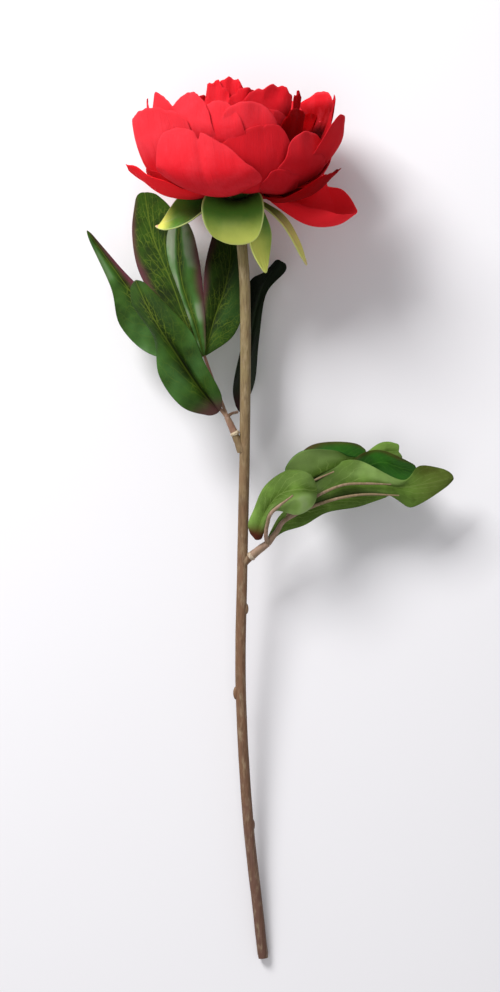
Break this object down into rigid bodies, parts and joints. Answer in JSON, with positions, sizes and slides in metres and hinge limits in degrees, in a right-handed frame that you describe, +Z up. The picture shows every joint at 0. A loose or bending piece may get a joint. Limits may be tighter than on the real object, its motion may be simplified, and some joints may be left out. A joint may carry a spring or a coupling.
{
  "type": "artificial peony stem",
  "caption": "Artificial peony lying on its side: a layered bloom over a sepal cup, on a moulded stem with leaf sprays.",
  "frame": {"origin": "centre of the footprint, on the surface that the part lies on", "axes": "+Z up, +Y along the stem towards the bloom, +X to the right seen from above with the bloom away"},
  "size_m": [0.2018, 0.4768, 0.1043],
  "materials": {
    "petal": "matte woven fabric, bright red",
    "calyx": "moulded plastic, dark green fading to yellow-green",
    "stem": "moulded plastic, brown fading to olive",
    "stalk": "moulded plastic, pinkish brown",
    "leaf": "satin coated fabric, dark green with paler veins",
    "leaf_back": "matte fabric, light green with red-tinged tips"
  },
  "bodies": {
    "root": {"main_stem": "stem", "calyx": "calyx", "bloom": "petal", "upper_stalks": "stalk", "lower_stalks": "stalk", "upper_front_leaf": "leaf", "upper_side_leaf": "leaf", "upper_rear_leaf": "leaf", "lower_front_leaf": "leaf_back", "lower_long_leaf": "leaf_back", "lower_top_leaf": "leaf_back"}
  },
  "joints": []
}
